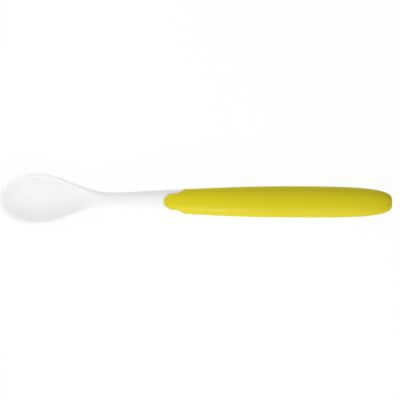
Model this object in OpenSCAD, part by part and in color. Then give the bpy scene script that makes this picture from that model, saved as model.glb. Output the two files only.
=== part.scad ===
// Weaning spoon: a white moulding, from its bowl to the tang inside the handle,
// with a soft grip moulded over the tang. It lies on its back along X, the bowl
// towards -X, with z = 0 at the table and the origin under the middle of its box.

/* [Bowl] */
// Width of the bowl, outside
bowl_w = 23; // [20:0.5:28]
// Length from the tip to the widest place
bowl_nose_l = 16.7; // [14:0.1:20]
// Length from the widest place to the start of the neck
bowl_back_l = 31.9; // [26:0.1:38]
// Depth from the rim to the lowest place, at the middle of the wall
bowl_depth = 6.2; // [4.5:0.1:8]
// Wall at the lowest place of the bowl
bowl_wall = 1.6; // [1.2:0.1:2.2]
// How far the tip rises above the rim at the widest place
tip_rise = 0.8; // [0:0.1:2]
// Width of the rounded rim, from the outline of the bowl to the crest
rim_w = 1.2; // [0.8:0.1:1.8]

/* [Neck] */
// Width of the neck where it is narrowest
neck_w = 7.2; // [5.5:0.1:8.5]
// Thickness of the neck where it is narrowest
neck_t = 4.2; // [3:0.1:5.5]
// Length from the start of the neck to the shoulder of the grip
neck_l = 33.3; // [26:0.1:42]
// Width of the neck at the shoulder
collar_w = 10.6; // [9.2:0.1:12]
// Thickness of the neck at the shoulder
collar_t = 6.6; // [5.6:0.1:8]

/* [Grip] */
// Greatest width of the grip
grip_w = 14; // [12.5:0.1:17]
// Greatest thickness of the grip
grip_t = 9.6; // [8.5:0.1:12]
// Length from the shoulder to the fullest place
grip_front_l = 47.2; // [40:0.1:60]
// Length from the fullest place to the end of the handle
grip_tail_l = 45.9; // [36:0.1:56]
// Height by which the grip stands proud of the neck
lip_h = 0.2; // [0.15:0.05:0.5]
// Wall of the grip over the tang, along the handle
skin_t = 2; // [1.6:0.1:2.4]

/* [Tongue] */
// Width of the tongue that runs forward onto the neck
tongue_w = 7.3; // [5.5:0.1:8]
// Length of the tongue, in front of the shoulder
tongue_l = 8.9; // [8.6:0.1:11]
// Length of the round nose of the tongue
tongue_nose_l = 4.9; // [3:0.1:5.2]
// Length over which the tongue widens into the shoulder
tongue_root_l = 4; // [1.5:0.1:4.3]
// Depth of the recess in the neck that the front of the grip fills
recess_d = 0.9; // [0.6:0.1:1.2]

/* [Tang] */
// Length of solid grip behind the end of the tang
tail_stop_l = 9; // [7:0.1:12]
// Length over which the end of the tang rounds off
tang_nose_l = 5; // [4:0.1:7]
// Width of the windows in the tang, which the grip fills so that it cannot slip
window_w = 3.4; // [2.4:0.1:4.2]
// Length of each window
window_l = 14; // [10:0.5:15]
// Length of the bar between two windows
window_bar_l = 5; // [3.5:0.1:7]
// Length from the shoulder to the first window
window_start_l = 14; // [11:0.1:17]

/* [Stance] */
// Height of the middle of the handle at the shoulder
arch_z = 11.4; // [9.5:0.1:16]
// Length from the place that rests on the table to the end of the handle
rest_from_end_l = 25; // [20:0.1:32]
// Depth of the flat that the handle rests on
rest_flat_d = 0.2; // [0.1:0.05:0.4]

/* [Hidden] */

// Places along the spoon, measured from the tip
widest_s = bowl_nose_l;
neck_s = widest_s + bowl_back_l;
shoulder_s = neck_s + neck_l;
fullest_s = shoulder_s + grip_front_l;
end_s = fullest_s + grip_tail_l;
rest_s = end_s - rest_from_end_l;
tang_end_s = end_s - tail_stop_l;
tang_nose_s = tang_end_s - tang_nose_l;

// Powers that say how full the curves are; a plain ellipse has 2
bowl_outline_power = 2.3;
tail_outline_power = 3.6;
tail_side_power = 2.9;
tang_end_power = 2.4;
handle_section_power = 2.3;

// Share of the grip's front length over which it starts to widen
soft_start_share = 0.06;

// Share of the bowl's depth over which its inside rounds over into the rim
rim_soft_share = 0.1;

// Share of the tongue's root over which the surface first runs square to the edge of the grip
edge_lead_share = 0.3;

// Counts of facets round the section, of rows along each stretch and of windows
ring_n = 48;
half_n = ring_n / 2;
quarter_n = ring_n / 4;
bowl_front_n = 13;
bowl_back_n = 18;
neck_n = 8;
meet_n = 8;
lip_n = 3;
tang_n = 10;
tang_nose_n = 6;
grip_front_n = 12;
grip_tail_n = 16;
windows_n = 3;
window_facets_n = 40;

// Curves. mix goes from a to b, ease starts and stops gently, bulge is the height
// of a rounded end, and swell rises from a gentle start and levels off.
function mix(a, b, share) = a + (b - a) * share;
function ease(share) = (1 - cos(180 * min(1, max(0, share)))) / 2;
function bulge(share, power) = pow(max(0, 1 - pow(abs(share), power)), 1 / power);
function swell(share) =
    let(soft = (share + sqrt(share * share + soft_start_share * soft_start_share)) / 2)
    sin(90 * min(1, soft));

// A half size of the handle at s, from the sizes at the neck, the shoulder and the fullest place
function handle_half(s, at_neck, at_shoulder, at_fullest) =
    (at_neck
     + (at_shoulder - at_neck) * ease((s - neck_s) / neck_l)
     + (at_fullest - at_shoulder) * swell((s - shoulder_s) / grip_front_l)) / 2;

// Half the width and half the thickness of the bowl and neck, and of the same curves
// carried on under the grip, at s
function core_half_w(s) =
    s < widest_s ? bowl_w / 2 * bulge(1 - s / widest_s, bowl_outline_power)
    : s < neck_s ? mix(bowl_w, neck_w, ease((s - widest_s) / bowl_back_l)) / 2
    : handle_half(s, neck_w, collar_w, grip_w - 2 * lip_h);

function core_half_t(s) =
    s < rim_w ? bowl_wall / 2 * bulge(1 - s / rim_w, 2)
    : s < neck_s ? mix(bowl_wall, neck_t, ease((s - widest_s) / bowl_back_l)) / 2
    : handle_half(s, neck_t, collar_t, grip_t - 2 * lip_h);

// The same for the outside of the grip, which rounds off at the end of the handle
function tail_share(s) = (s - fullest_s) / grip_tail_l;
function grip_half_w(s) =
    s < fullest_s ? core_half_w(s) + lip_h : grip_w / 2 * bulge(tail_share(s), tail_outline_power);
function grip_half_t(s) =
    s < fullest_s ? core_half_t(s) + lip_h : grip_t / 2 * bulge(tail_share(s), tail_side_power);

// Shares of the bowl's depth that its underside and its hollow have at the middle of s.
// In front of the hollow its share is below zero.
function full_share(s) =
    let(w = core_half_w(s), low_w = s < widest_s ? 0 : neck_w / 2, high_w = bowl_w / 2)
    s > neck_s ? 0 : (w * w - low_w * low_w) / (high_w * high_w - low_w * low_w);
function hollow_share(s) =
    let(left = 1 - pow(abs(widest_s - s) / (widest_s - rim_w), bowl_outline_power))
    s < widest_s ? sign(left) * pow(abs(left), 2 / bowl_outline_power) : full_share(s);

// Half the width of the hollow at s
function hollow_half_w(s) =
    s < widest_s ? (bowl_w / 2 - rim_w) * sqrt(max(0, hollow_share(s))) : core_half_w(s) - rim_w;

// Depth and slope at y across, of the hollow and of the underside: [depth, slope]
function hollow(s, y) =
    let(
        share = hollow_share(s),
        near_share = s < widest_s ? 1 : share,
        bend = near_share / pow((s < widest_s ? bowl_w / 2 : core_half_w(s)) - rim_w, 2),
        level = share - bend * y * y,
        soft = norm([level, rim_soft_share * near_share])
    )
    soft == 0 ? [0, 0] : bowl_depth * [(level + soft) / 2, (1 + level / soft) * bend * y];
function underside(s, y, half_w) =
    bowl_depth * full_share(s) * [1 - pow(y / half_w, 2), 2 * y / (half_w * half_w)];

// Height of the rim, and from the neck on of the handle's middle line, at s
rim_z = bowl_depth + bowl_wall / 2;
rest_z = grip_half_t(rest_s) - rest_flat_d;
function mid_z(s) =
    s < widest_s ? rim_z + tip_rise * pow(1 - s / widest_s, 2)
    : s < shoulder_s ? mix(rim_z, arch_z, ease((s - widest_s) / (shoulder_s - widest_s)))
    : mix(arch_z, rest_z, ease((s - shoulder_s) / (rest_s - shoulder_s)));

// How full the section is at y across: round at the rim of the bowl, near an ellipse behind it
function fullness(s, y, half_w) =
    let(
        hollow_w = hollow_half_w(s),
        out = max(0, abs(y) - hollow_w) / (half_w - hollow_w),
        rim_full = sqrt(max(0, 1 - out * out)),
        handle_full = sqrt(max(0, 1 - pow(abs(y / half_w), handle_section_power)))
    )
    s > neck_s ? handle_full : mix(rim_full, handle_full, ease((s - widest_s) / bowl_back_l));

// A point of the section at s, at an angle round it, for a half width and a half thickness
function section_point(s, angle, half_w, half_t) =
    let(
        y = half_w * cos(angle),
        upper = sin(angle) >= 0,
        face = upper ? hollow(s, y) : underside(s, y, half_w),
        wall = half_t * sqrt(1 + face[1] * face[1]),
        full = fullness(s, y, half_w)
    )
    [s - end_s / 2, y, mid_z(s) + (upper ? full * (wall - face[0]) : -face[0] - full * wall)];

// A quarter of the grip's front edge, seen from above: the round nose of the tongue,
// its straight side, and the hollow corner that runs out at the side of the neck
half_tongue_w = tongue_w / 2;
nose_s = shoulder_s - tongue_l + tongue_nose_l;
root_s = shoulder_s - tongue_root_l;
root_angle = acos(half_tongue_w / core_half_w(root_s));
nose_edge_l = PI / 4 * (tongue_nose_l + half_tongue_w);
side_edge_l = root_s - nose_s;
root_edge_l = PI / 2 * tongue_root_l;
edge_l = nose_edge_l + side_edge_l + root_edge_l;

// Place on that edge at d along it: [s, y, step in s of the way into the grip, the same in y]
function edge_place(d) =
    let(
        past_nose = d - nose_edge_l,
        past_side = past_nose - side_edge_l,
        nose_turn = 90 * d / nose_edge_l,
        nose_way = [half_tongue_w * cos(nose_turn), -tongue_nose_l * sin(nose_turn)],
        root_turn = 90 * past_side / root_edge_l,
        corner_s = root_s + tongue_root_l * sin(root_turn)
    )
    past_nose < 0 ? concat(
        [nose_s - tongue_nose_l * cos(nose_turn), half_tongue_w * sin(nose_turn)],
        nose_way / norm(nose_way))
    : past_side < 0 ? [nose_s + past_nose, half_tongue_w, 0, -1]
    : [corner_s, core_half_w(corner_s) * cos(root_angle * cos(root_turn)), sin(root_turn), -cos(root_turn)];

// Column j of the whole front edge, moved inset_l into the grip: [s, angle round the section]
function edge_column(j, inset_l) =
    let(
        quarter = floor(j / quarter_n),
        share = j / quarter_n - quarter,
        place = edge_place(edge_l * (quarter % 2 == 0 ? share : 1 - share)),
        turn = acos(min(1, (place[1] + inset_l * place[3]) / core_half_w(place[0]))),
        angles = [turn, -turn, turn - 180, 180 - turn]
    )
    [place[0] + inset_l * place[2], angles[quarter]];

// A row of points across the spoon in one plane, from the middle of the top round to the right
function row_angle(j) = 90 - 360 * j / ring_n;
function flat_row(s, half_w, half_t) =
    [for (j = [0 : ring_n - 1]) section_point(s, row_angle(j), half_w, half_t)];

// A place on the neck, its angle given in the turn that lies nearest to column j of a flat row
function near_turn(place, j) = [place[0], place[1] + 360 * round((row_angle(j) - place[1]) / 360)];

// A row between the front edge of the grip (share 0) and the flat row at flat_s (share 1),
// on a surface that lies out_h outside the neck's. Its columns leave the edge square.
edge_lead_l = edge_lead_share * tongue_root_l;
function meet_row(share, flat_s, inset_l, out_h) =
    [for (j = [0 : ring_n - 1])
        let(
            lead_l = flat_s > shoulder_s ? edge_lead_l : -edge_lead_l,
            edge = near_turn(edge_column(j, inset_l), j),
            lead = near_turn(edge_column(j, inset_l + lead_l), j),
            flat = [flat_s, row_angle(j)],
            place = mix(mix(edge, lead, share), mix(lead, flat, share), share),
            s = place[0]
        )
        section_point(s, place[1], core_half_w(s) + out_h, core_half_t(s) + out_h)];

// Stretches in front of and behind the front edge in which the rows turn to follow it
meet_front_s = shoulder_s - tongue_l - half_tongue_w;
meet_back_s = shoulder_s + tongue_l;

bowl_rows = [
    for (i = [1 : bowl_front_n])
        let(s = widest_s * (1 - cos(90 * i / bowl_front_n)))
        flat_row(s, core_half_w(s), core_half_t(s)),
    for (i = [1 : bowl_back_n])
        let(s = mix(widest_s, neck_s, i / bowl_back_n))
        flat_row(s, core_half_w(s), core_half_t(s))
];

neck_rows = [
    for (i = [1 : neck_n])
        let(s = mix(neck_s, meet_front_s, i / neck_n))
        flat_row(s, core_half_w(s), core_half_t(s)),
    for (i = [1 : meet_n])
        meet_row(1 - i / meet_n, meet_front_s, 0, 0)
];

// The tang, from the floor of the recess to its rounded end. The hollow in the grip is the same surface.
tang_rows = [
    for (i = [0 : meet_n])
        meet_row(i / meet_n, meet_back_s, 0, -mix(recess_d, skin_t - lip_h, ease(i / meet_n))),
    for (i = [1 : tang_n])
        let(s = mix(meet_back_s, tang_nose_s, i / tang_n))
        flat_row(s, grip_half_w(s) - skin_t, grip_half_t(s) - skin_t),
    for (i = [1 : tang_nose_n - 1])
        let(
            reach_share = sin(90 * i / tang_nose_n),
            s = tang_nose_s + tang_nose_l * reach_share,
            size_share = bulge(reach_share, tang_end_power)
        )
        flat_row(s, (grip_half_w(s) - skin_t) * size_share, (grip_half_t(s) - skin_t) * size_share)
];

// The outside of the grip: its rounded lip, the stretch behind the tongue, the handle and its end
grip_rows = [
    for (i = [0 : lip_n])
        meet_row(0, meet_back_s, lip_h * (1 - cos(90 * i / lip_n)), lip_h * sin(90 * i / lip_n)),
    for (i = [1 : meet_n])
        meet_row(i / meet_n, meet_back_s, lip_h, lip_h),
    for (i = [1 : grip_front_n])
        let(s = mix(meet_back_s, fullest_s, i / grip_front_n))
        flat_row(s, grip_half_w(s), grip_half_t(s)),
    for (i = [1 : grip_tail_n - 1])
        let(s = fullest_s + grip_tail_l * sin(90 * i / grip_tail_n))
        flat_row(s, grip_half_w(s), grip_half_t(s))
];

function reversed(rows) = [for (i = [len(rows) - 1 : -1 : 0]) rows[i]];
function middle_point(s) = [s - end_s / 2, 0, mid_z(s)];

// A closed skin over rows of points, from a point in front to a point behind. The first turned_n
// rows run the other way, so their facets are split along the other corner, and left mirrors right.
module skin(front, rows, back, turned_n = 0) {
    last = (len(rows) - 1) * ring_n;
    front_i = len(rows) * ring_n;
    polyhedron(
        points = [for (row = rows) each row, front, back],
        faces = [
            for (r = [0 : len(rows) - 2], j = [0 : ring_n - 1])
                let(
                    a = r * ring_n + j,
                    b = r * ring_n + (j + 1) % ring_n,
                    c = b + ring_n,
                    d = a + ring_n
                )
                each (r < turned_n) == (j < half_n) ? [[a, b, d], [b, c, d]] : [[a, b, c], [a, c, d]],
            for (j = [0 : ring_n - 1])
                [front_i, (j + 1) % ring_n, j],
            for (j = [0 : ring_n - 1])
                [front_i + 1, last + j, last + (j + 1) % ring_n]
        ]
    );
}

// A window through the tang, square to its middle line, that reaches reach_h past the tang's faces
module window(i, reach_h) {
    from_s = shoulder_s + window_start_l + i * (window_l + window_bar_l);
    to_s = from_s + window_l;
    middle = (middle_point(from_s) + middle_point(to_s)) / 2;
    rise = mid_z(to_s) - mid_z(from_s);
    half_h = grip_half_t((from_s + to_s) / 2) - skin_t + reach_h;
    straight = window_l - window_w;
    translate(middle)
        rotate([0, -atan2(rise, window_l), 0])
            translate([0, 0, -half_h])
                linear_extrude(2 * half_h) {
                    square([straight, window_w], center = true);
                    for (side = [-1, 1])
                        translate([side * straight / 2, 0])
                            circle(d = window_w, $fn = window_facets_n);
                }
}

module spoon_core() {
    color("white")
        difference() {
            skin(middle_point(0), concat(bowl_rows, neck_rows, tang_rows), middle_point(tang_end_s));
            for (i = [0 : windows_n - 1])
                window(i, skin_t);
        }
}

module soft_grip() {
    color([0.84, 0.8, 0.12])
        difference() {
            union() {
                skin(middle_point(tang_end_s), concat(reversed(tang_rows), grip_rows), middle_point(end_s),
                     turned_n = len(tang_rows));
                for (i = [0 : windows_n - 1])
                    window(i, skin_t / 2);
            }
            translate([0, -grip_w / 2, -grip_t])
                cube([end_s / 2, grip_w, grip_t]);
        }
}

spoon_core();
soft_grip();
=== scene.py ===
# Weaning spoon with a white bowl and neck and a soft lime grip, lying on a pale table.
# Lengths are in metres. Along the spoon, places are measured from the tip of the bowl.
import math

import bmesh
import bpy
from mathutils import Euler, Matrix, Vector


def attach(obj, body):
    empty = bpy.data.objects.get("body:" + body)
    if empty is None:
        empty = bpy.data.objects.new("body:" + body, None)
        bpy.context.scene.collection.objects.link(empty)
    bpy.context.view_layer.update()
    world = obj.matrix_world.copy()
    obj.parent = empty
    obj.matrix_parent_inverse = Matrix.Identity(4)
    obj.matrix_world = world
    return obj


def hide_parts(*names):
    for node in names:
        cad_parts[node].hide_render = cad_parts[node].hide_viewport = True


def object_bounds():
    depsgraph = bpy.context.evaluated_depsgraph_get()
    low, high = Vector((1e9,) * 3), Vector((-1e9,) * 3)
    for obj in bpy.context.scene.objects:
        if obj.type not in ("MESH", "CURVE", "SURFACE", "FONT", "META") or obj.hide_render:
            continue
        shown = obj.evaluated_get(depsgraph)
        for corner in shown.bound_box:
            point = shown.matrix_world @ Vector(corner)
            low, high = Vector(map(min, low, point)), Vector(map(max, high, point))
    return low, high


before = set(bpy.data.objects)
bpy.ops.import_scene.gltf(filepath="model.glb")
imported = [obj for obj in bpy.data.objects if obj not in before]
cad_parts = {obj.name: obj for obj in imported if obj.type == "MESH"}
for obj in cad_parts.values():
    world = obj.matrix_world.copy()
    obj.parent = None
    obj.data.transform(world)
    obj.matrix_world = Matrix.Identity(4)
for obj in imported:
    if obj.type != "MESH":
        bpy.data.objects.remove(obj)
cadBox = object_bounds()
mm = 0.001

# the two mouldings at their real sizes
bowl = dict(width=23 * mm, noseLength=16.7 * mm, backLength=31.9 * mm, depth=6.2 * mm, wall=1.6 * mm,
            tipRise=0.8 * mm, rim=1.2 * mm, outlinePower=2.3, rimSoft=0.1)
neck = dict(width=7.2 * mm, thickness=4.2 * mm, length=33.3 * mm, collarWidth=10.6 * mm,
            collarThickness=6.6 * mm, sectionPower=2.3)
grip = dict(width=14 * mm, thickness=9.6 * mm, frontLength=47.2 * mm, tailLength=45.9 * mm, lip=0.2 * mm,
            skin=2 * mm, outlinePower=3.6, sidePower=2.9, softStart=0.06)
tongue = dict(width=7.3 * mm, length=8.9 * mm, noseLength=4.9 * mm, rootLength=4 * mm, lead=1.2 * mm,
              recess=0.9 * mm)
tang = dict(tailStop=9 * mm, noseLength=5 * mm, endPower=2.4)
stance = dict(archHeight=11.4 * mm, restFromEnd=25 * mm, flatDepth=0.2 * mm)

widestAt = bowl["noseLength"]
neckAt = widestAt + bowl["backLength"]
shoulderAt = neckAt + neck["length"]
fullestAt = shoulderAt + grip["frontLength"]
endAt = fullestAt + grip["tailLength"]
restAt = endAt - stance["restFromEnd"]
tangEndAt = endAt - tang["tailStop"]
tangNoseAt = tangEndAt - tang["noseLength"]
tipX = cadBox[0][0]


def mix(a, b, share):
    return a + (b - a) * share


def ease(share):
    return (1 - math.cos(math.pi * min(1, max(0, share)))) / 2


def bulge(share, power):
    return max(0, 1 - abs(share) ** power) ** (1 / power)


def swell(share):
    soft = (share + math.hypot(share, grip["softStart"])) / 2
    return math.sin(math.pi / 2 * min(1, soft))


def handleHalf(s, atNeck, atShoulder, atFullest):
    growth = (atShoulder - atNeck) * ease((s - neckAt) / neck["length"])
    swelling = (atFullest - atShoulder) * swell((s - shoulderAt) / grip["frontLength"])
    return (atNeck + growth + swelling) / 2


# half the width and half the thickness of the white moulding, carried on under the grip
def coreHalfWidth(s):
    if s < widestAt:
        return bowl["width"] / 2 * bulge(1 - s / widestAt, bowl["outlinePower"])
    if s < neckAt:
        return mix(bowl["width"], neck["width"], ease((s - widestAt) / bowl["backLength"])) / 2
    return handleHalf(s, neck["width"], neck["collarWidth"], grip["width"] - 2 * grip["lip"])


def coreHalfThickness(s):
    if s < bowl["rim"]:
        return bowl["wall"] / 2 * bulge(1 - s / bowl["rim"], 2)
    if s < neckAt:
        return mix(bowl["wall"], neck["thickness"], ease((s - widestAt) / bowl["backLength"])) / 2
    return handleHalf(s, neck["thickness"], neck["collarThickness"], grip["thickness"] - 2 * grip["lip"])


# the same for the outside of the grip, with its rounded end
def gripHalfWidth(s):
    if s < fullestAt:
        return coreHalfWidth(s) + grip["lip"]
    return grip["width"] / 2 * bulge((s - fullestAt) / grip["tailLength"], grip["outlinePower"])


def gripHalfThickness(s):
    if s < fullestAt:
        return coreHalfThickness(s) + grip["lip"]
    return grip["thickness"] / 2 * bulge((s - fullestAt) / grip["tailLength"], grip["sidePower"])


rimHeight = bowl["depth"] + bowl["wall"] / 2
restHeight = gripHalfThickness(restAt) - stance["flatDepth"]


def midHeight(s):
    if s < widestAt:
        return rimHeight + bowl["tipRise"] * (1 - s / widestAt) ** 2
    if s < shoulderAt:
        return mix(rimHeight, stance["archHeight"], ease((s - widestAt) / (shoulderAt - widestAt)))
    return mix(stance["archHeight"], restHeight, ease((s - shoulderAt) / (restAt - shoulderAt)))


# shares of the bowl's depth at the middle of s, of its underside and of its hollow
def fullShare(s):
    if s > neckAt:
        return 0
    low = 0 if s < widestAt else neck["width"] / 2
    high = bowl["width"] / 2
    return (coreHalfWidth(s) ** 2 - low ** 2) / (high ** 2 - low ** 2)


def hollowShare(s):
    if s > widestAt:
        return fullShare(s)
    left = 1 - ((widestAt - s) / (widestAt - bowl["rim"])) ** bowl["outlinePower"]
    return math.copysign(abs(left) ** (2 / bowl["outlinePower"]), left)


def hollowHalfWidth(s):
    if s > widestAt:
        return coreHalfWidth(s) - bowl["rim"]
    return (bowl["width"] / 2 - bowl["rim"]) * math.sqrt(max(0, hollowShare(s)))


# depth and slope at y across, of the hollow and of the underside
def hollow(s, y):
    share = hollowShare(s)
    nearShare = share if s > widestAt else 1
    bend = nearShare / ((coreHalfWidth(s) if s > widestAt else bowl["width"] / 2) - bowl["rim"]) ** 2
    level = share - bend * y ** 2
    soft = math.hypot(level, bowl["rimSoft"] * nearShare)
    if soft == 0:
        return 0, 0
    return bowl["depth"] * (level + soft) / 2, bowl["depth"] * (1 + level / soft) * bend * y


def underside(s, y, halfWidth):
    depth = bowl["depth"] * fullShare(s)
    return depth * (1 - (y / halfWidth) ** 2), depth * 2 * y / halfWidth ** 2


# round at the rim of the bowl, near an ellipse in the handle
def fullness(s, y, halfWidth):
    handleFull = math.sqrt(max(0, 1 - abs(y / halfWidth) ** neck["sectionPower"]))
    if s > neckAt:
        return handleFull
    hollowWidth = hollowHalfWidth(s)
    out = max(0, abs(y) - hollowWidth) / (halfWidth - hollowWidth)
    rimFull = math.sqrt(max(0, 1 - out ** 2))
    return mix(rimFull, handleFull, ease((s - widestAt) / bowl["backLength"]))


def sectionPoint(s, angle, halfWidth, halfThickness):
    y = halfWidth * math.cos(angle)
    full = fullness(s, y, halfWidth)
    if math.sin(angle) >= 0:
        depth, slope = hollow(s, y)
        height = full * (halfThickness * math.hypot(1, slope) - depth)
    else:
        depth, slope = underside(s, y, halfWidth)
        height = -depth - full * halfThickness * math.hypot(1, slope)
    return Vector((tipX + s, y, midHeight(s) + height))


def middlePoint(s):
    return Vector((tipX + s, 0, midHeight(s)))


# rows of points round the spoon, from the middle of the top towards +Y, and how many rows each stretch has
columns = 128
quarter = columns // 4
counts = dict(nose=36, back=48, neck=16, collar=16, recess=16, tang=20, tangNose=12, lip=6, front=20,
              swelling=40, tail=48)


def rowAngle(column):
    return math.pi / 2 - 2 * math.pi * column / columns


def flatRow(s, halfWidth, halfThickness):
    return [sectionPoint(s, rowAngle(column), halfWidth, halfThickness) for column in range(columns)]


def coreRow(s):
    return flatRow(s, coreHalfWidth(s), coreHalfThickness(s))


def gripRow(s):
    return flatRow(s, gripHalfWidth(s), gripHalfThickness(s))


def tangRow(s, size):
    return flatRow(s, (gripHalfWidth(s) - grip["skin"]) * size, (gripHalfThickness(s) - grip["skin"]) * size)


# a quarter of the grip's front edge from above: nose of the tongue, straight side, hollow corner
halfTongue = tongue["width"] / 2
noseAt = shoulderAt - tongue["length"] + tongue["noseLength"]
rootAt = shoulderAt - tongue["rootLength"]
rootAngle = math.acos(halfTongue / coreHalfWidth(rootAt))
noseEdge = math.pi / 4 * (tongue["noseLength"] + halfTongue)
sideEdge = rootAt - noseAt
rootEdge = math.pi / 2 * tongue["rootLength"]


def edgePlace(along):
    if along < noseEdge:
        turn = math.pi / 2 * along / noseEdge
        nose = Vector((-tongue["noseLength"] * math.cos(turn), halfTongue * math.sin(turn)))
        inward = Vector((halfTongue * math.cos(turn), -tongue["noseLength"] * math.sin(turn))).normalized()
        return noseAt + nose.x, nose.y, inward.x, inward.y
    if along < noseEdge + sideEdge:
        return noseAt + along - noseEdge, halfTongue, 0, -1
    turn = (along - noseEdge - sideEdge) / tongue["rootLength"]
    s = rootAt + tongue["rootLength"] * math.sin(turn)
    return s, coreHalfWidth(s) * math.cos(rootAngle * math.cos(turn)), math.sin(turn), -math.cos(turn)


# where a column crosses that edge, moved inward by inset: place along the spoon and angle
def edgeColumn(column, inset):
    part, step = divmod(column, quarter)
    share = step / quarter
    s, y, wayS, wayY = edgePlace((noseEdge + sideEdge + rootEdge) * (1 - share if part % 2 else share))
    turn = math.acos(min(1, (y + inset * wayY) / coreHalfWidth(s)))
    return s + inset * wayS, (turn, -turn, turn - math.pi, math.pi - turn)[part]


# a row between the front edge (share 0) and the flat row at flatAt (share 1), risen out of the neck;
# its columns leave the edge square
def meetRow(share, flatAt, inset, rise):
    row = []
    lead = tongue["lead"] if flatAt > shoulderAt else -tongue["lead"]
    for column in range(columns):
        flat = Vector((flatAt, rowAngle(column)))
        steps = []
        for way in (inset, inset + lead):
            s, angle = edgeColumn(column, way)
            steps.append(Vector((s, angle + 2 * math.pi * round((flat.y - angle) / (2 * math.pi)))))
        s, angle = steps[0].lerp(steps[1], share).lerp(steps[1].lerp(flat, share), share)
        row.append(sectionPoint(s, angle, coreHalfWidth(s) + rise, coreHalfThickness(s) + rise))
    return row


# the last flat row before the front edge and the first one behind it
meetFrontAt = shoulderAt - tongue["length"] - halfTongue
meetBackAt = shoulderAt + tongue["length"]


def shares(count, first=1):
    return [step / count for step in range(first, count + 1)]


# the tang, which is also the hollow in the grip, from the front edge to its end
def tangRows():
    rows = []
    for share in shares(counts["recess"], 0):
        rise = -mix(tongue["recess"], grip["skin"] - grip["lip"], ease(share))
        rows.append(meetRow(share, meetBackAt, 0, rise))
    for share in shares(counts["tang"]):
        rows.append(tangRow(mix(meetBackAt, tangNoseAt, share), 1))
    for share in shares(counts["tangNose"])[:-1]:
        reach = math.sin(math.pi / 2 * share)
        rows.append(tangRow(tangNoseAt + tang["noseLength"] * reach, bulge(reach, tang["endPower"])))
    return rows


def selectNothing():
    if bpy.context.object and bpy.context.object.mode != "OBJECT":
        bpy.ops.object.mode_set(mode="OBJECT")
    bpy.ops.object.select_all(action="DESELECT")


# points nearer than mergeWithin become one, and an edge turned more than sharpAngle stays sharp
shell = dict(mergeWithin=0.0001 * mm, sharpAngle=math.radians(40))


# a ring of points, extruded row by row along the spoon; its ends are drawn in to one point
def drawOut(name, start, rows, end):
    selectNothing()
    bpy.ops.mesh.primitive_circle_add(vertices=columns, radius=mm)
    piece = bpy.context.object
    piece.name = name
    bpy.ops.object.mode_set(mode="EDIT")
    bpy.ops.mesh.select_all(action="SELECT")
    for number, row in enumerate([[start] * columns] + rows + [[end] * columns]):
        if number:
            bpy.ops.mesh.extrude_region_move()
        mesh = bmesh.from_edit_mesh(piece.data)
        ring = [vertex for vertex in mesh.verts if vertex.select]
        for vertex, point in zip(ring, row):
            vertex.co = point
        bmesh.update_edit_mesh(piece.data)
    bpy.ops.mesh.select_all(action="SELECT")
    bpy.ops.mesh.remove_doubles(threshold=shell["mergeWithin"])
    bpy.ops.mesh.normals_make_consistent(inside=False)
    bpy.ops.object.mode_set(mode="OBJECT")
    bpy.ops.object.shade_smooth_by_angle(angle=shell["sharpAngle"])
    return piece


# white bowl and neck, with the tang inside the grip; a fine groove runs along the edge of the grip
seam = dict(width=0.16 * mm, depth=0.12 * mm)
rows = []
for share in shares(counts["nose"]):
    rows.append(coreRow(widestAt * (1 - math.cos(math.pi / 2 * share))))
for share in shares(counts["back"]):
    rows.append(coreRow(mix(widestAt, neckAt, share)))
for share in shares(counts["neck"]):
    rows.append(coreRow(mix(neckAt, meetFrontAt, share)))
for share in shares(counts["collar"])[:-1]:
    rows.append(meetRow(1 - share, meetFrontAt, -seam["width"] * share, 0))
rows.append(meetRow(0, meetFrontAt, -seam["width"], 0))
rows.append(meetRow(0, meetFrontAt, -seam["width"] / 2, -seam["depth"] / 2))
rows.append(meetRow(0, meetFrontAt, 0, -seam["depth"]))
core = drawOut("white_moulding", middlePoint(0), rows + tangRows(), middlePoint(tangEndAt))
print("white moulding", len(core.data.polygons))

# the soft grip, from the hollow for the tang over its rounded lip to the end of the handle
rows = tangRows()[::-1]
for share in shares(counts["lip"], 0):
    turn = math.pi / 2 * share
    rows.append(meetRow(0, meetBackAt, grip["lip"] * (1 - math.cos(turn)), grip["lip"] * math.sin(turn)))
for share in shares(counts["front"]):
    rows.append(meetRow(share, meetBackAt, grip["lip"], grip["lip"]))
for share in shares(counts["swelling"]):
    rows.append(gripRow(mix(meetBackAt, fullestAt, share)))
for share in shares(counts["tail"])[:-1]:
    rows.append(gripRow(fullestAt + grip["tailLength"] * math.sin(math.pi / 2 * share)))
softGrip = drawOut("lime_grip", middlePoint(tangEndAt), rows, middlePoint(endAt))

# the belly is cut flat where the handle rests
bpy.ops.object.mode_set(mode="EDIT")
bpy.ops.mesh.select_all(action="SELECT")
bpy.ops.mesh.bisect(plane_co=(0, 0, 0), plane_no=(0, 0, 1))
bpy.ops.mesh.select_all(action="DESELECT")
mesh = bmesh.from_edit_mesh(softGrip.data)
for vertex in mesh.verts:
    vertex.select_set(vertex.co.z < 0)
bmesh.update_edit_mesh(softGrip.data)
bpy.ops.transform.resize(value=(1, 1, 0), center_override=(0, 0, 0))
bpy.ops.object.mode_set(mode="OBJECT")
print("soft grip", len(softGrip.data.polygons))


# a shader socket that adds a Math node when it is added or multiplied
class Value:
    def __init__(self, finish, socket):
        self.finish = finish
        self.socket = socket

    def maths(self, operation, first, second):
        return self.finish.node("ShaderNodeMath", dict(operation=operation), {0: first, 1: second})

    def __add__(self, other):
        return self.maths("ADD", self, other)

    def __radd__(self, other):
        return self.maths("ADD", other, self)

    def __mul__(self, other):
        return self.maths("MULTIPLY", self, other)

    def __rmul__(self, other):
        return self.maths("MULTIPLY", other, self)


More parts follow.
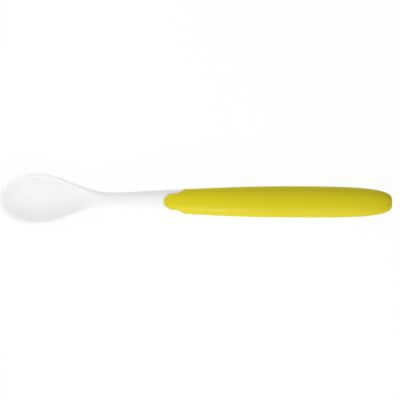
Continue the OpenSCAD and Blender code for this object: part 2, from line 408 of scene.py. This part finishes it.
# a material or a world whose nodes are added one at a time
class Finish:
    def __init__(self, data):
        data.use_nodes = True
        self.data = data
        self.tree = data.node_tree
        self.tree.nodes.clear()

    def node(self, kind, settings=None, sockets=None, out=0):
        node = self.tree.nodes.new(kind)
        for key, setting in (settings or {}).items():
            setattr(node, key, setting)
        for key, given in (sockets or {}).items():
            if isinstance(given, Value):
                self.tree.links.new(given.socket, node.inputs[key])
            else:
                node.inputs[key].default_value = given
        return Value(self, node.outputs[out]) if node.outputs else None

    def noise(self, scale, stretch=(1, 1, 1)):
        place = self.node("ShaderNodeTexCoord", out="Object")
        place = self.node("ShaderNodeMapping", None, {"Vector": place, "Scale": stretch})
        return self.node("ShaderNodeTexNoise", None, {"Vector": place, "Scale": scale}, "Fac")

    # sockets 6 and 7 of a Mix node are its two colours, and 2 is the colour that comes out
    def blend(self, share, first, second):
        return self.node("ShaderNodeMix", dict(data_type="RGBA"), {0: share, 6: first, 7: second}, 2)

    def bump(self, height, distance):
        return self.node("ShaderNodeBump", None, {"Height": height, "Distance": distance}, "Normal")

    def plastic(self, sockets):
        shader = self.node("ShaderNodeBsdfPrincipled", None, sockets)
        self.node("ShaderNodeOutputMaterial", None, {"Surface": shader})
        return self.data


# a colour as it looks on a screen, from 0 to 255, in the linear values that a socket takes
def colour(red, green, blue):
    steps = [value / 255 for value in (red, green, blue)]
    return [step / 12.92 if step <= 0.04045 else ((step + 0.055) / 1.055) ** 2.4 for step in steps] + [1]


def whitePlastic():
    look = dict(light=colour(236, 236, 236), shade=colour(233, 233, 232), roughness=0.6, spread=0.1,
                shine=0.2, waves=90, waveHeight=0.8, grain=2400, grainHeight=0.04, relief=0.06 * mm,
                scatter=0.8, scatterLength=1.2 * mm)
    finish = Finish(bpy.data.materials.new("white_plastic"))
    cloud = finish.noise(look["waves"])
    grain = finish.noise(look["grain"])
    return finish.plastic({
        "Base Color": finish.blend(cloud, look["light"], look["shade"]),
        "Roughness": look["roughness"] + look["spread"] * grain,
        "Specular IOR Level": look["shine"],
        "Subsurface Weight": look["scatter"],
        "Subsurface Radius": (1, 1, 1),
        "Subsurface Scale": look["scatterLength"],
        "Normal": finish.bump(cloud * look["waveHeight"] + grain * look["grainHeight"], look["relief"]),
    })


def limeRubber():
    look = dict(light=colour(212, 199, 22), shade=colour(206, 192, 20), roughness=0.36, spread=0.12,
                shine=0.19, waves=70, waveStretch=(0.4, 1, 1), waveHeight=0.8, grain=2600, grainHeight=0.35,
                relief=0.06 * mm)
    finish = Finish(bpy.data.materials.new("lime_soft_grip"))
    cloud = finish.noise(look["waves"], look["waveStretch"])
    grain = finish.noise(look["grain"])
    return finish.plastic({
        "Base Color": finish.blend(cloud, look["light"], look["shade"]),
        "Roughness": look["roughness"] + look["spread"] * grain,
        "Specular IOR Level": look["shine"],
        "Normal": finish.bump(cloud * look["waveHeight"] + grain * look["grainHeight"], look["relief"]),
    })


core.data.materials.append(whitePlastic())
softGrip.data.materials.append(limeRubber())
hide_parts("spoon_core")
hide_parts("soft_grip")
for piece in (core, softGrip):
    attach(piece, "root")
print("finishes are on")


# 1 for the rays of the camera, of gloss and of glass, which all see white surroundings
def whiteRays(finish):
    camera, gloss, glass = (finish.node("ShaderNodeLightPath", out=out)
                            for out in ("Is Camera Ray", "Is Glossy Ray", "Is Transmission Ray"))
    return finish.node("ShaderNodeMath", dict(use_clamp=True), {0: camera + gloss, 1: glass})


# pale table a hair under the spoon, white for the camera but for a trace of the spoon's shadow
table = dict(size=4, drop=0.01 * mm, white=0.92, cameraShare=0.95)
selectNothing()
bpy.ops.mesh.primitive_plane_add(size=table["size"], location=(0, 0, -table["drop"]))
floor = bpy.context.object
floor.name = "table"
finish = Finish(bpy.data.materials.new("table_white"))
plain = finish.node("ShaderNodeBsdfDiffuse", None, {"Color": (table["white"],) * 3 + (1,)})
bright = finish.node("ShaderNodeEmission", None, {"Strength": 1})
seen = whiteRays(finish)
surface = finish.node("ShaderNodeMixShader", None, {0: seen * table["cameraShare"], 1: plain, 2: bright})
finish.node("ShaderNodeOutputMaterial", None, {"Surface": surface})
floor.data.materials.append(finish.data)

# two lamps at the spoon's right edge and one past the bowl at its left, under an even white sky
lamps = dict(key=dict(place=(0.03, -0.2, 0.15), size=0.15, power=0.18),
             near=dict(place=(0.02, -0.15, 0.15), size=0.06, power=0.164),
             fill=dict(place=(-0.15, 0.12, 0.15), size=0.15, power=0.224))
skyStrength = 0.45
for name, lamp in lamps.items():
    selectNothing()
    bpy.ops.object.light_add(type="AREA", location=lamp["place"])
    softbox = bpy.context.object
    softbox.name = name
    softbox.data.size = lamp["size"]
    softbox.data.energy = lamp["power"]
    softbox.visible_camera = False
    softbox.rotation_euler = (-Vector(lamp["place"])).to_track_quat("-Z", "Y").to_euler()
sky = Finish(bpy.data.worlds.new("studio"))
seen = whiteRays(sky)
even = sky.node("ShaderNodeBackground", None,
                {"Color": (1, 1, 1, 1), "Strength": skyStrength + seen * (1 - skyStrength)})
sky.node("ShaderNodeOutputWorld", None, {"Surface": even})
bpy.context.scene.world = sky.data
print("table, lamps and sky are set")

# the camera looks down from a little to the left of the spoon, which lies across the whole picture
photo = dict(pixels=400, spoonPixels=392, left=0.5, midRow=201.01, tiltPixels=3.32, tiltRun=348)
view = dict(distance=1.2, sensor=36, level=6.3 * mm, lean=math.radians(3), clipEnd=10)
pixel = (cadBox[1][0] - cadBox[0][0]) / photo["spoonPixels"]
aim = Vector(((photo["pixels"] / 2 - photo["left"] - photo["spoonPixels"] / 2) * pixel,
              (photo["midRow"] - photo["pixels"] / 2) * pixel, view["level"]))
turn = Euler((-view["lean"], 0, math.atan2(photo["tiltPixels"], photo["tiltRun"])))
place = aim + turn.to_matrix() @ Vector((0, 0, view["distance"]))
selectNothing()
bpy.ops.object.camera_add(location=place, rotation=turn)
camera = bpy.context.object
camera.data.sensor_width = view["sensor"]
camera.data.lens = view["sensor"] * view["distance"] / (photo["pixels"] * pixel)
camera.data.clip_end = view["clipEnd"]
bpy.context.scene.camera = camera
bpy.context.scene.view_settings.view_transform = "Standard"
print("camera is set")
